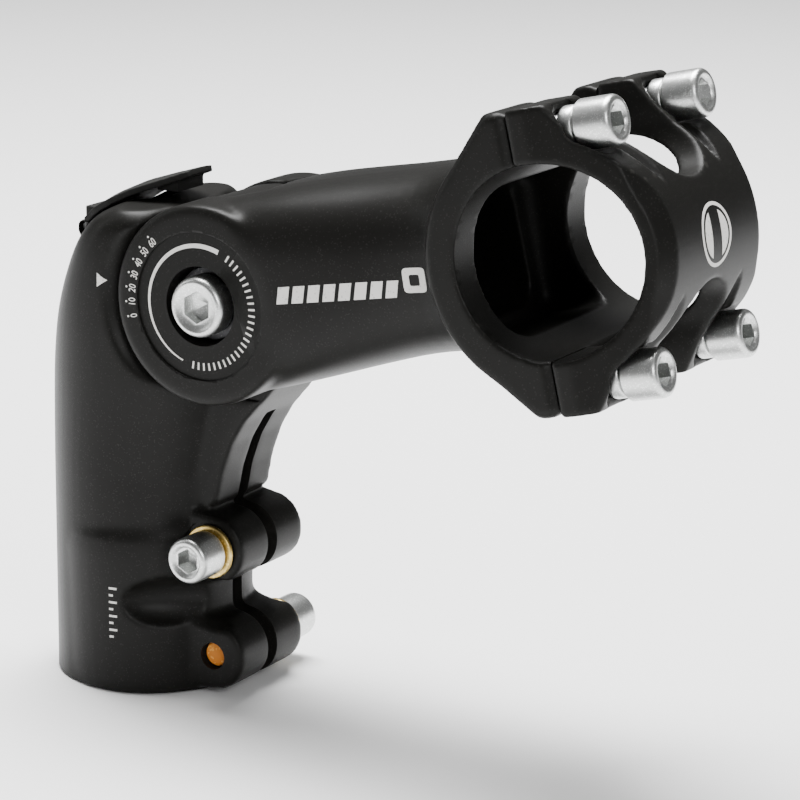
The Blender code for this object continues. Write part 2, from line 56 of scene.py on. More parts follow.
MM = 0.001
VIEW_AZIMUTH = math.radians(30.68)
VIEW_ELEVATION = math.radians(14.86)
VIEW_ROLL = math.radians(0.55)
VIEW_DISTANCE = 554.35 * MM
VIEW_TARGET = Vector((52.14, 0, 57.29)) * MM
LENS_MM = 144.0
PALE = (0.93, 0.93, 0.93, 1)

look = Vector((-math.sin(VIEW_AZIMUTH) * math.cos(VIEW_ELEVATION),
               math.cos(VIEW_AZIMUTH) * math.cos(VIEW_ELEVATION), -math.sin(VIEW_ELEVATION)))
level_right = Vector((math.cos(VIEW_AZIMUTH), math.sin(VIEW_AZIMUTH), 0))
turn = Matrix.Rotation(-VIEW_ROLL, 3, look)
right = turn @ level_right
above = turn @ level_right.cross(look)
camera = bpy.data.objects.new("camera", bpy.data.cameras.new("camera"))
camera.data.lens = LENS_MM
camera.data.sensor_width = 36.0
camera.data.clip_start = 0.01
camera.matrix_world = (Matrix.Translation(VIEW_TARGET - look * VIEW_DISTANCE)
                       @ Matrix((right, above, -look)).transposed().to_4x4())
bpy.context.collection.objects.link(camera)
bpy.context.scene.camera = camera

world = bpy.data.worlds.new("studio")
world.use_nodes = True
world.node_tree.nodes["Background"].inputs["Color"].default_value = PALE
world.node_tree.nodes["Background"].inputs["Strength"].default_value = 0.22
bpy.context.scene.world = world

floor_bm = bmesh.new()
bmesh.ops.create_circle(floor_bm, cap_ends=True, segments=96, radius=6.0)
floor_mesh = bpy.data.meshes.new("floor")
floor_bm.to_mesh(floor_mesh)
floor_bm.free()
floor = bpy.data.objects.new("floor", floor_mesh)
bpy.context.collection.objects.link(floor)
floor.location.z = -0.4 * MM
paper = bpy.data.materials.new("pale_paper")
paper.use_nodes = True
paper.node_tree.nodes["Principled BSDF"].inputs["Base Color"].default_value = PALE
paper.node_tree.nodes["Principled BSDF"].inputs["Roughness"].default_value = 0.9
floor_mesh.materials.append(paper)


def soft_box(name, place, width, height, watts):
    """Rectangular area lamp that faces the middle of the stem."""
    lamp = bpy.data.lights.new(name, "AREA")
    lamp.shape = "RECTANGLE"
    lamp.size = width
    lamp.size_y = height
    lamp.energy = watts
    item = bpy.data.objects.new(name, lamp)
    item.location = place
    item.rotation_euler = (VIEW_TARGET - item.location).to_track_quat("-Z", "Y").to_euler()
    bpy.context.collection.objects.link(item)


soft_box("top_box", Vector((-0.1, 0.2, 0.95)), 0.7, 0.5, 38.0)
soft_box("left_box", Vector((-0.95, -0.35, 0.5)), 0.25, 0.7, 1.8)
soft_box("front_box", Vector((0.95, -0.75, 0.6)), 0.3, 0.5, 7.0)

# ------------------------------------------------------------------ steerer clamp
# Forged aluminium tube with two pairs of screw lugs, machined at its bore, slit and
# pockets, then coated satin black. It clamps round the fork's steerer tube.

TUBE_R = 18.0
STEERER_R = 14.35
STEERER_DEPTH = 44.0
ACCESS_X = -2.6
ACCESS_R = 6.0
LUG_HALF = 10.3
LUG_X = 19.6
LUG_Z = (7.3, 27.2)
SLIT_HALF = 1.5
SLIT_TOP = 51.5
POCKET_R = 18.35
POCKET_MOUTH = 12.0
TONGUE_HALF = 8.2
PAD_TOP = 28.5

joints = {joint["name"]: joint for joint in frame["joints"]}
PIVOT = Vector(joints["arm_tilt"]["pos_m"]) / MM
HINGE = Vector(joints["cover_lift"]["pos_m"]) / MM
ALONG = Vector(joints["faceplate_pull"]["axis"]).normalized()
ARM = Matrix.Translation(PIVOT) @ Matrix((ALONG, (0, 1, 0), ALONG.cross((0, 1, 0)))).transposed().to_4x4()
UPRIGHT = Matrix.Identity(4)
AIM = {"X": Matrix.Rotation(math.pi / 2, 4, "Y"), "Y": Matrix.Rotation(-math.pi / 2, 4, "X"),
       "Z": Matrix.Identity(4)}


def rod(bm, radius, low, high, centre, axis, base=UPRIGHT, end_radius=None, sides=96, lengths=1):
    """Adds a cylinder or cone, in millimetres, from low to high along an axis."""
    middle = Matrix.Translation((0, 0, (low + high) / 2))
    place = base @ Matrix.Translation(centre) @ AIM[axis] @ middle
    made = bmesh.ops.create_cone(bm, cap_ends=True, segments=sides, radius1=radius,
                                 radius2=radius if end_radius is None else end_radius,
                                 depth=high - low, matrix=place)
    if lengths > 1:
        edges = {edge for vert in made["verts"] for edge in vert.link_edges}
        long = [edge for edge in edges if all(len(face.verts) == 4 for face in edge.link_faces)]
        bmesh.ops.subdivide_edges(bm, edges=long, cuts=lengths - 1)


def block(bm, low, high, base=UPRIGHT):
    """Adds a box between two corners, in millimetres."""
    low = Vector(low)
    high = Vector(high)
    place = base @ Matrix.Translation((low + high) / 2) @ Matrix.Diagonal((*(high - low), 1))
    bmesh.ops.create_cube(bm, size=1.0, matrix=place)


def slab(bm, outline, low, high, base=UPRIGHT):
    """Adds an outline in the XZ plane, drawn out along Y, in millimetres."""
    sides = [[bm.verts.new(base @ Vector((x, y, z))) for x, z in outline] for y in (low, high)]
    count = len(outline)
    faces = [bm.faces.new(sides[0]), bm.faces.new(sides[1])]
    for index in range(count):
        after = (index + 1) % count
        faces.append(bm.faces.new((sides[0][index], sides[0][after], sides[1][after],
                                   sides[1][index])))
    bmesh.ops.recalc_face_normals(bm, faces=faces)


def shape(name, build, *values):
    """New object from a function that fills a mesh in millimetres."""
    bm = bmesh.new()
    build(bm, *values)
    bmesh.ops.scale(bm, verts=bm.verts, vec=(MM, MM, MM))
    mesh = bpy.data.meshes.new(name)
    bm.to_mesh(mesh)
    bm.free()
    item = bpy.data.objects.new(name, mesh)
    bpy.context.collection.objects.link(item)
    return item


def settle(item, sharp_degrees=32):
    """Turns an object's modifiers into its mesh, with smooth shading but for sharp edges."""
    graph = bpy.context.evaluated_depsgraph_get()
    mesh = bpy.data.meshes.new_from_object(item.evaluated_get(graph))
    item.modifiers.clear()
    item.data = mesh
    mesh.shade_smooth()
    mesh.set_sharp_from_angle(angle=math.radians(sharp_degrees))
    return item


def carve(item, cutter, sharp_degrees=32):
    """Cuts every solid of one object out of another, and drops the cutter."""
    boolean = item.modifiers.new("carve", "BOOLEAN")
    boolean.operation = "DIFFERENCE"
    boolean.solver = "MANIFOLD"
    boolean.object = cutter
    settle(item, sharp_degrees)
    bpy.data.objects.remove(cutter, do_unlink=True)
    return item


def welded_copy(bm, node):
    """Adds a CAD node's mesh, in millimetres and with its split corners joined."""
    bm.from_mesh(frame["nodes"][node].data)
    bmesh.ops.scale(bm, verts=bm.verts, vec=(1 / MM, 1 / MM, 1 / MM))
    bmesh.ops.remove_doubles(bm, verts=bm.verts, dist=0.001)


def soften(item, voxel, rounds):
    """Fuses an object's solids and rounds their edges and corners, as a forging has them."""
    remesh = item.modifiers.new("fuse", "REMESH")
    remesh.mode = "VOXEL"
    remesh.voxel_size = voxel * MM
    smooth = item.modifiers.new("round", "SMOOTH")
    smooth.factor = 0.5
    smooth.iterations = rounds
    return settle(item)


def ring_of(bm, centre_x, half_x, half_y, height, count=96):
    points = []
    for step in range(count):
        angle = 2 * math.pi * step / count
        points.append(bm.verts.new((centre_x + half_x * math.cos(angle),
                                    half_y * math.sin(angle), height)))
    return points


def clamp_blank(bm):
    """Clamp with its bore, slit and holes filled, and the raised pads at its lugs."""
    welded_copy(bm, "steerer_clamp")
    rod(bm, STEERER_R + 0.6, -3.0, STEERER_DEPTH + 0.5, (0, 0, 0), "Z")
    rod(bm, TUBE_R, -3.0, 1.0, (0, 0, 0), "Z")
    block(bm, (9.0, -2.0, -3.0), (17.8, 2.0, 34.0))
    for height in LUG_Z:
        rod(bm, 6.2, -LUG_HALF, LUG_HALF, (LUG_X, 0, height), "Y")
        block(bm, (12.0, -2.0, height - 6.2), (LUG_X, 2.0, height + 6.2))
    slab(bm, [(14.0, 33.0), (19.2, 35.0), (20.4, 41.0), (22.4, 46.6), (25.0, 51.0), (25.0, 53.0),
              (14.0, 53.0)], -2.0, 2.0)
    rod(bm, 1.6, -9.5, 9.5, HINGE, "Y")
    levels = [(-3.0, 0.0), (2.0, 0.55), (PAD_TOP - 3.0, 0.75), (PAD_TOP, 0.55),
              (PAD_TOP + 4.0, -0.9)]
    rings = [ring_of(bm, 0.9, TUBE_R - 0.9 + swell * 0.3, TUBE_R + swell, height)
             for height, swell in levels]
    for lower, upper in zip(rings, rings[1:]):
        for index in range(len(lower)):
            after = (index + 1) % len(lower)
            bm.faces.new((lower[index], lower[after], upper[after], upper[index]))
    bm.faces.new(list(reversed(rings[0])))
    bm.faces.new(rings[-1])


def scoops(bm):
    """Hollows pressed into both flanks between the two lugs."""
    for side in (-1, 1):
        place = (Matrix.Translation((17.0, side * 14.0, 17.2))
                 @ Matrix.Rotation(side * math.radians(-32), 4, "Z")
                 @ Matrix.Diagonal((14.0, 6.0, 5.4, 1)))
        bmesh.ops.create_uvsphere(bm, u_segments=48, v_segments=32, radius=1.0, matrix=place)


def pocket_bevels(bm):
    """Cones that bevel the outer rims of the two pockets for the arm's ears."""
    rod(bm, 21.8, -19.2, -15.6, PIVOT, "Y", end_radius=18.2, sides=128)
    rod(bm, 18.2, 15.6, 19.2, PIVOT, "Y", end_radius=21.8, sides=128)


def clamp_cuts(bm):
    """Everything that is machined into the clamp."""
    block(bm, (-40, -40, -12), (40, 40, 0))
    rod(bm, STEERER_R, -5, STEERER_DEPTH, (0, 0, 0), "Z")
    rod(bm, STEERER_R + 1.2, -0.6, 0.6, (0, 0, 0), "Z", end_radius=STEERER_R)
    rod(bm, ACCESS_R, 40, 100, (ACCESS_X, 0, 0), "Z")
    block(bm, (9, -SLIT_HALF, -5), (40, SLIT_HALF, SLIT_TOP))
    rod(bm, 6.3, -20, 20, PIVOT, "Y")
    for height, side in zip(LUG_Z, (1, -1)):
        rod(bm, 2.5, -30, 30, (LUG_X, 0, height), "Y")
        ends = sorted((side * LUG_HALF, side * 30))
        rod(bm, 5.6, ends[0], ends[1], (LUG_X, 0, height), "Y")
    corner = math.acos(-POCKET_MOUTH / POCKET_R)
    turns = 64
    outline = []
    for step in range(turns + 1):
        angle = corner + (1.5 * math.pi - corner) * step / turns
        outline.append((PIVOT.x + POCKET_R * math.cos(angle), PIVOT.z + POCKET_R * math.sin(angle)))
    outline += [(60, PIVOT.z - POCKET_R), (60, 120), (PIVOT.x - POCKET_MOUTH, 120)]
    for side in (-1, 1):
        ends = sorted((side * TONGUE_HALF, side * 30))
        slab(bm, outline, ends[0], ends[1])
        seat = sorted((side * 6.7, side * (TONGUE_HALF + 1)))
        rod(bm, 11.8, seat[0], seat[1], PIVOT, "Y")
    rod(bm, 2.4, -6.8, 6.8, HINGE, "Y")
    rod(bm, 1.2, -20, 20, HINGE, "Y", sides=32)


def cut_all(item, build):
    """Cuts a set of tools out of an object, one closed tool at a time."""
    tools = shape("tools", build)
    bm = bmesh.new()
    bm.from_mesh(tools.data)
    left = set(bm.verts)
    cutters = []
    while left:
        group = {left.pop()}
        edge = set(group)
        while edge:
            edge = {e.other_vert(v) for v in edge for e in v.link_edges} - group
            group |= edge
        left -= group
        keep = bmesh.new()
        moved = {v: keep.verts.new(v.co) for v in group}
        for face in {f for v in group for f in v.link_faces}:
            keep.faces.new([moved[v] for v in face.verts])
        bmesh.ops.recalc_face_normals(keep, faces=keep.faces)
        mesh = bpy.data.meshes.new("cutter")
        keep.to_mesh(mesh)
        keep.free()
        cutter = bpy.data.objects.new("cutter", mesh)
        bpy.context.collection.objects.link(cutter)
        cutters.append(cutter)
        boolean = item.modifiers.new("cut", "BOOLEAN")
        boolean.operation = "DIFFERENCE"
        boolean.solver = "MANIFOLD"
        boolean.object = cutter
    bm.free()
    even = item.modifiers.new("even", "WEIGHTED_NORMAL")
    even.keep_sharp = True
    settle(item)
    for cutter in cutters + [tools]:
        bpy.data.objects.remove(cutter, do_unlink=True)
    return item


clamp = soften(shape("clamp_forging", clamp_blank), 0.5, 3)
carve(clamp, shape("scoops", scoops))
cut_all(clamp, pocket_bevels)
soften(clamp, 0.5, 9)
cut_all(clamp, clamp_cuts)

# Black forged finish: a satin coat over a peened surface, with fine flakes, slight
# mottling, and a paler line where the coat is thin on the edges.


def new_group(name, inputs, outputs):
    """Empty shader group with named sockets; returns the group, its input and output."""
    group = bpy.data.node_groups.new(name, "ShaderNodeTree")
    for label, value in inputs:
        socket = group.interface.new_socket(label, in_out="INPUT", socket_type="NodeSocketFloat")
        socket.default_value = value
    for label in outputs:
        group.interface.new_socket(label, in_out="OUTPUT", socket_type="NodeSocketFloat")
    return group, group.nodes.new("NodeGroupInput"), group.nodes.new("NodeGroupOutput")


def math_node(tree, operation, first, second, clamp=False):
    """Math node whose operands are numbers or sockets."""
    node = tree.nodes.new("ShaderNodeMath")
    node.operation = operation
    node.use_clamp = clamp
    for socket, value in zip(node.inputs, (first, second)):
        if isinstance(value, bpy.types.NodeSocket):
            tree.links.new(value, socket)
        else:
            socket.default_value = value
    return node.outputs[0]


def noise_node(tree, scale, detail, roughness=0.55):
    """Solid noise in the object's own coordinates."""
    place = tree.nodes.new("ShaderNodeTexCoord")
    noise = tree.nodes.new("ShaderNodeTexNoise")
    noise.inputs["Detail"].default_value = detail
    noise.inputs["Roughness"].default_value = roughness
    tree.links.new(place.outputs["Object"], noise.inputs["Vector"])
    if isinstance(scale, bpy.types.NodeSocket):
        tree.links.new(scale, noise.inputs["Scale"])
    else:
        noise.inputs["Scale"].default_value = scale
    return noise.outputs["Fac"]


def grain_group():
    """Fine grain of a peened or plated surface, with scattered bright flakes."""
    group, ins, outs = new_group("surface_grain", [("Grain per Metre", 4000.0), ("Flakes", 0.1)],
                                 ["Height", "Mottle", "Flake Mask"])
    fine = noise_node(group, ins.outputs["Grain per Metre"], 4.0, 0.7)
    group.links.new(fine, outs.inputs["Height"])
    group.links.new(noise_node(group, 90.0, 3.0), outs.inputs["Mottle"])
    cells = group.nodes.new("ShaderNodeTexVoronoi")
    place = group.nodes.new("ShaderNodeTexCoord")
    group.links.new(place.outputs["Object"], cells.inputs["Vector"])
    group.links.new(ins.outputs["Grain per Metre"], cells.inputs["Scale"])
    split = group.nodes.new("ShaderNodeSeparateColor")
    group.links.new(cells.outputs["Color"], split.inputs["Color"])
    limit = math_node(group, "SUBTRACT", 1.0, ins.outputs["Flakes"])
    group.links.new(math_node(group, "GREATER_THAN", split.outputs[0], limit),
                    outs.inputs["Flake Mask"])
    return group


def edge_group():
    """Mask of the convex edges, broken up as rubbing leaves them."""
    group, ins, outs = new_group("edge_wear", [("Reach", 0.54), ("Contrast", 14.0)], ["Wear"])
    geometry = group.nodes.new("ShaderNodeNewGeometry")
    over = math_node(group, "SUBTRACT", geometry.outputs["Pointiness"], ins.outputs["Reach"])
    sharp = math_node(group, "MULTIPLY", over, ins.outputs["Contrast"], clamp=True)
    broken = math_node(group, "MULTIPLY", sharp, noise_node(group, 500.0, 5.0, 0.7), clamp=True)
    group.links.new(broken, outs.inputs["Wear"])
    return group


GRAIN = grain_group()
EDGES = edge_group()


def add_group(tree, group, **values):
    node = tree.nodes.new("ShaderNodeGroup")
    node.node_tree = group
    for label, value in values.items():
        node.inputs[label.replace("_", " ")].default_value = value
    return node


def mixed(tree, factor, first, second):
    """Colour mix; each side is a colour or a socket."""
    node = tree.nodes.new("ShaderNodeMix")
    node.data_type = "RGBA"
    tree.links.new(factor, node.inputs["Factor"])
    for socket, value in ((node.inputs["A"], first), (node.inputs["B"], second)):
        if isinstance(value, bpy.types.NodeSocket):
            tree.links.new(value, socket)
        else:
            socket.default_value = (*value, 1)
    return node.outputs["Result"]


def ranged(tree, value, low, high):
    node = tree.nodes.new("ShaderNodeMapRange")
    tree.links.new(value, node.inputs["Value"])
    node.inputs["To Min"].default_value = low
    node.inputs["To Max"].default_value = high
    return node.outputs["Result"]


def finish(name, colour, mottled, flake, worn, metallic, rough, grain, flakes, bump_mm, reach=0.54):
    """Surface whose colour, gloss and grain all vary: base, mottling, flakes and worn edges."""
    material = bpy.data.materials.new(name)
    material.use_nodes = True
    tree = material.node_tree
    shader = tree.nodes["Principled BSDF"]
    shader.inputs["Metallic"].default_value = metallic
    shader.inputs["Specular IOR Level"].default_value = 0.5 if metallic else 0.12
    texture = add_group(tree, GRAIN, Grain_per_Metre=grain, Flakes=flakes)
    edges = add_group(tree, EDGES, Reach=reach)
    base = mixed(tree, texture.outputs["Mottle"], colour, mottled)
    base = mixed(tree, texture.outputs["Flake Mask"], base, flake)
    base = mixed(tree, edges.outputs["Wear"], base, worn)
    tree.links.new(base, shader.inputs["Base Color"])
    tree.links.new(ranged(tree, texture.outputs["Height"], rough[0], rough[1]),
                   shader.inputs["Roughness"])
    bump = tree.nodes.new("ShaderNodeBump")
    bump.inputs["Strength"].default_value = 1.0
    bump.inputs["Distance"].default_value = bump_mm * MM
    tree.links.new(texture.outputs["Height"], bump.inputs["Height"])
    tree.links.new(bump.outputs["Normal"], shader.inputs["Normal"])
    return material


def dress(item, material, body, node):
    """Gives a piece its material and the body it moves with, and hides the CAD node it stands for."""
    item.data.materials.clear()
    item.data.materials.append(material)
    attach(item, body)
    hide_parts(node)


satin_black = finish("satin_black_coat", (0.0042, 0.0041, 0.0036), (0.007, 0.0068, 0.006),
                     (0.014, 0.0135, 0.0125), (0.024, 0.023, 0.021), 0.0, (0.3, 0.5), 5200.0, 0.05,
                     0.016)
dress(clamp, satin_black, "steerer_clamp", "steerer_clamp")

# ------------------------------------------------------------------ pivot bush and toothed rings
# Bronze sleeve pressed through the tongue, and a hardened ring with fine radial teeth
# sunk in each of its sides. They stay as the CAD has them, with their own metals.

bush_bronze = finish("bush_bronze", (0.50, 0.33, 0.14), (0.38, 0.24, 0.10), (0.62, 0.45, 0.22),
                     (0.75, 0.55, 0.3), 1.0, (0.28, 0.45), 2500.0, 0.08, 0.006)
ring_steel = finish("ring_steel", (0.34, 0.34, 0.35), (0.24, 0.24, 0.25), (0.5, 0.5, 0.5),
                    (0.6, 0.6, 0.6), 1.0, (0.3, 0.5), 3500.0, 0.05, 0.006)
pin_steel = finish("pin_steel", (0.06, 0.06, 0.06), (0.04, 0.04, 0.041), (0.1, 0.1, 0.1),
                   (0.2, 0.2, 0.2), 1.0, (0.3, 0.5), 3000.0, 0.04, 0.004)
for node, metal in (("pivot_bush", bush_bronze), ("detent_ring_near", ring_steel),
                    ("detent_ring_far", ring_steel), ("cover_pin", pin_steel)):
    frame["nodes"][node].data.materials[0] = metal

# ------------------------------------------------------------------ extension arm
# Hollow forged arm: a two-eared fork behind, the rear half of the handlebar clamp in
# front. Coated like the clamp; the ears' outer faces are sunk for the printed ring.

ARM_LENGTH = 70.4
BORE_R = 16.0
HOOP_R = 20.1
CLAMP_HALF = 23.0
ARM_FACE = 68.25
EAR_Y = 18.9
EAR_SINK_R = 13.0
EAR_SINK_Y = 18.45
SEAT_Y = 14.0
SCREW_Y = 15.8
SCREW_N = 20.4


def arm_blank(bm):
    """Arm with the mouths of its machined seats filled."""
    welded_copy(bm, "extension_arm")
    for side in (-1, 1):
        for radius, low in ((13.9, 17.6), (8.2, SEAT_Y - 0.6)):
            ends = sorted((side * low, side * EAR_Y))
            rod(bm, radius, ends[0], ends[1], (0, 0, 0), "Y", ARM)
        for level in (-1, 1):
            outer = sorted((side * 9.8, side * 21.8))
            height = sorted((level * 15.6, level * 24.2))
            block(bm, (ARM_FACE - 3, outer[0], height[0]), (ARM_FACE + 1.5, outer[1], height[1]), ARM)


def arm_cuts(bm):
    """Everything that is machined into the arm."""
    block(bm, (ARM_FACE, -30, -30), (ARM_FACE + 9, 30, 30), ARM)
    rod(bm, BORE_R, -30, 30, (ARM_LENGTH, 0, 0), "Y", ARM, sides=160, lengths=40)
    rod(bm, 20.6, -8.5, 8.5, (0, 0, 0), "Y", ARM, sides=128)
    rod(bm, 4.3, -30, 30, (0, 0, 0), "Y", ARM)
    rod(bm, 7.0, -30, -SEAT_Y, (0, 0, 0), "Y", ARM)
    rod(bm, 7.8, SEAT_Y, 30, (0, 0, 0), "Y", ARM, sides=6)
    for side in (-1, 1):
        ends = sorted((side * EAR_SINK_Y, side * 30))
        rod(bm, EAR_SINK_R, ends[0], ends[1], (0, 0, 0), "Y", ARM, sides=128)
        for level in (-1, 1):
            rod(bm, 2.6, 52, 75, (0, side * SCREW_Y, level * SCREW_N), "X", ARM, sides=48)


def blend_ears(item, low, high, rounds):
    """Smooths the ears into the tube, between two distances from the pivot."""
    inverse = (Matrix.Scale(MM, 4) @ ARM).inverted()
    zone = item.vertex_groups.new(name="ears")
    for vert in item.data.vertices:
        along, across, _ = inverse @ vert.co
        share = min(1.0, (along - low) / 4, (high - along) / 8, (abs(across) - 10) / 3)
        if share > 0:
            zone.add([vert.index], share, "REPLACE")
    blend = item.modifiers.new("blend", "SMOOTH")
    blend.factor = 0.5
    blend.iterations = rounds
    blend.vertex_group = "ears"
    settle(item)
    item.vertex_groups.clear()


arm = soften(shape("arm_forging", arm_blank), 0.5, 10)
blend_ears(arm, 9.0, 40.0, 60)
cut_all(arm, arm_cuts)
dress(arm, satin_black, "extension_arm", "extension_arm")

# ------------------------------------------------------------------ faceplate
# Front half of the handlebar clamp, forged as two hoops joined by a wide bridge. Four
# screws draw it against the arm's half.

PLATE_FACE = 68.75
PLATE_FRONT = 75.2
SIDE_TAPER = math.radians(18)
TAPER_START = 1.8


def plate_blank(bm):
    welded_copy(bm, "faceplate")
    for side in (-1, 1):
        for level in (-1, 1):
            outer = sorted((side * 9.9, side * 21.8))
            height = sorted((level * 15.6, level * 24.2))
            block(bm, (PLATE_FACE - 1.5, outer[0], height[0]),
                  (PLATE_FACE + 3, outer[1], height[1]), ARM)


def plate_cuts(bm):
    block(bm, (PLATE_FACE - 9, -30, -30), (PLATE_FACE, 30, 30), ARM)
    rod(bm, BORE_R, -30, 30, (ARM_LENGTH, 0, 0), "Y", ARM, sides=160, lengths=40)
    for side in (-1, 1):
        for level in (-1, 1):
            centre = (0, side * SCREW_Y, level * SCREW_N)
            rod(bm, 2.75, 52, 85, centre, "X", ARM, sides=48)
            rod(bm, 5.0, PLATE_FRONT, 110, centre, "X", ARM, sides=64)


def hoop_side(radius, angle):
    """Half-width of the faceplate, which narrows towards its front, at a point of a hoop."""
    return CLAMP_HALF - max(0.0, radius * math.cos(angle) - TAPER_START) * math.tan(SIDE_TAPER)


def rim_bevel(bm, side, on_face, on_rim):
    """Wedge that bevels one hoop's outer edge between its two screws, fading at both ends."""
    reach = 52
    rings = []
    for degrees in range(-reach, reach + 1, 2):
        angle = math.radians(degrees)
        lift = 3.4 * (1 - min(1.0, (reach - abs(degrees)) / 30)) ** 2
        face_r = HOOP_R - on_face
        face = Vector((face_r, hoop_side(face_r, angle)))
        rim = Vector((HOOP_R, hoop_side(HOOP_R, angle) - on_rim))
        inner = face - (rim - face) * 0.6
        outer = rim + (rim - face) * 0.8
        ring = []
        for radius, depth in (inner, outer, (HOOP_R + 6, inner.y + 4)):
            across = (radius + lift) * math.cos(angle)
            height = (radius + lift) * math.sin(angle)
            ring.append(bm.verts.new(ARM @ Vector((ARM_LENGTH + across, side * depth, height))))
        rings.append(ring)
    for ring, after in zip(rings, rings[1:]):
        for first in range(3):
            second = (first + 1) % 3
            bm.faces.new((ring[first], ring[second], after[second], after[first]))
    bm.faces.new(rings[0])
    bm.faces.new(rings[-1])
    bmesh.ops.recalc_face_normals(bm, faces=bm.faces)


def flank_facets(bm):
    """Tapering facets from each screw's seat down to the bridge, beside the windows."""
    for side in (-1, 1):
        for level in (-1, 1):
            start = ARM @ Vector((ARM_LENGTH + 13.6, side * 11.8, level * 19.0))
            end = ARM @ Vector((ARM_LENGTH + 22.4, side * 9.0, level * 5.0))
            run = end - start
            turned = run.to_track_quat("Z", "Y").to_matrix().to_4x4()
            bmesh.ops.create_cone(bm, cap_ends=True, segments=4, radius1=4.8, radius2=0.3,
                                  depth=run.length,
                                  matrix=Matrix.Translation((start + end) / 2) @ turned)


faceplate = soften(shape("faceplate_forging", plate_blank), 0.4, 3)
for side, on_face, on_rim in ((-1, 2.0, 2.5), (1, 1.0, 1.2)):
    carve(faceplate, shape("rim_bevel", rim_bevel, side, on_face, on_rim))
cut_all(faceplate, flank_facets)
soften(faceplate, 0.35, 5)
cut_all(faceplate, plate_cuts)
dress(faceplate, satin_black, "faceplate", "faceplate")

# ------------------------------------------------------------------ socket screws
# Cold-headed steel screws, bright zinc plated, with a dished rim round a hex socket and
# a rolled thread. Both clamp screws carry a patch of orange thread lock.

bright_zinc = finish("bright_zinc", (0.62, 0.63, 0.62), (0.52, 0.53, 0.52), (0.78, 0.79, 0.78),
                     (0.85, 0.86, 0.85), 1.0, (0.22, 0.42), 5200.0, 0.16, 0.018)
thread_lock = finish("thread_lock", (0.62, 0.21, 0.025), (0.48, 0.13, 0.015), (0.72, 0.33, 0.06),
                     (0.65, 0.3, 0.06), 0.0, (0.4, 0.6), 3000.0, 0.1, 0.03)
TURNS = 64


def thread_radius(core, crest, pitch, angle, depth):
    """Distance of a rolled thread's surface from its axis."""
    phase = (depth / pitch + angle / (2 * math.pi)) % 1.0
    ridge = min(1.0, max(0.0, 1.6 - 3.2 * abs(phase - 0.5)))
    return core + (crest - core) * ridge


def screw_blank(bm, head_r, head_length, shank_r, shank_length, pitch, rim_r, dish_r):
    """Screw along +Z with the underside of its head at zero, before its socket is cut."""
    round_r = min(1.3, head_r * 0.26)
    profile = [(dish_r, head_length - 0.55), (rim_r - 0.25, head_length - 0.12),
               (rim_r, head_length)]
    for step in range(1, 7):
        angle = step / 6 * math.pi / 2
        profile.append((head_r - round_r * (1 - math.sin(angle)) * 0.8,
                        head_length - round_r * (1 - math.cos(angle))))
    profile += [(head_r, 0.35), (head_r - 0.3, 0.0), (shank_r + 0.25, 0.0), (shank_r, -0.3)]
    rings = [[(radius, height)] * TURNS for radius, height in profile]
    steps = int((shank_length - 1.4) / (pitch / 6))
    for step in range(steps + 1):
        depth = 1.4 + (shank_length - 1.4) * step / steps
        fade = min(1.0, (depth - 1.4) / pitch, (shank_length - depth) / pitch + 0.35)
        row = []
        for index in range(TURNS):
            angle = 2 * math.pi * index / TURNS
            outer = shank_r - 0.02
            radius = thread_radius(shank_r - pitch * 0.5 * fade, outer, pitch, angle, depth)
            row.append((radius - 0.35 * (1 - min(1.0, (shank_length - depth) / 0.8)), -depth))
        rings.append(row)
    verts = []
    for row in rings:
        ring = []
        for index, (radius, height) in enumerate(row):
            angle = 2 * math.pi * index / TURNS
            ring.append(bm.verts.new((radius * math.cos(angle), radius * math.sin(angle), height)))
        verts.append(ring)
    for upper, lower in zip(verts, verts[1:]):
        for index in range(TURNS):
            after = (index + 1) % TURNS
            bm.faces.new((upper[index], lower[index], lower[after], upper[after]))
    bm.faces.new(verts[0])
    bm.faces.new(list(reversed(verts[-1])))


def socket_tool(bm, hex_r, head_length, depth):
    rod(bm, hex_r, head_length - depth, head_length + 3, (0, 0, 0), "Z", sides=6)
    rod(bm, 0.05, head_length - depth - hex_r * 0.45, head_length - depth + 0.01, (0, 0, 0), "Z",
        end_radius=hex_r * 0.86, sides=6)


def screw(name, joint, sizes, hex_r, locked_from=None):
    """Socket screw on its joint's axis, riding on the body that the joint turns."""
    item = shape(name, screw_blank, *sizes)
    cut_all(item, lambda bm: socket_tool(bm, hex_r, sizes[1], sizes[1] * 0.62))
    facts = joints[joint]
    dress(item, bright_zinc, facts["child"], facts["child"])
    if locked_from is not None:
        item.data.materials.append(thread_lock)
        for face in item.data.polygons:
            if face.center.z < -locked_from * MM:
                face.material_index = 1
    outward = Vector(facts["axis"]).normalized()
    item.matrix_world = (Matrix.Translation(Vector(facts["pos_m"]))
                         @ outward.to_track_quat("Z", "Y").to_matrix().to_4x4())
    return item


# head radius, head length, shank radius, shank length, pitch, rim radius, dish radius
M5_SIZES = (4.15, 6.6, 2.45, 18.0, 0.8, 3.1, 2.5)
M5_LONG = (4.15, 6.6, 2.45, 21.0, 0.8, 3.1, 2.5)
M8_SIZES = (5.35, 4.3, 3.9, 35.2, 1.25, 4.3, 3.4)
PLACES = [level + "_" + side for level in ("upper", "lower") for side in ("near", "far")]
for place in PLACES:
    screw("faceplate_screw_" + place, "faceplate_bolt_" + place + "_turn", M5_SIZES, 2.3)
for level in ("upper", "lower"):
    screw(level + "_clamp_screw", level + "_clamp_bolt_turn", M5_LONG, 2.3, 13.0)
screw("pivot_screw", "pivot_bolt_turn", M8_SIZES, 2.9)
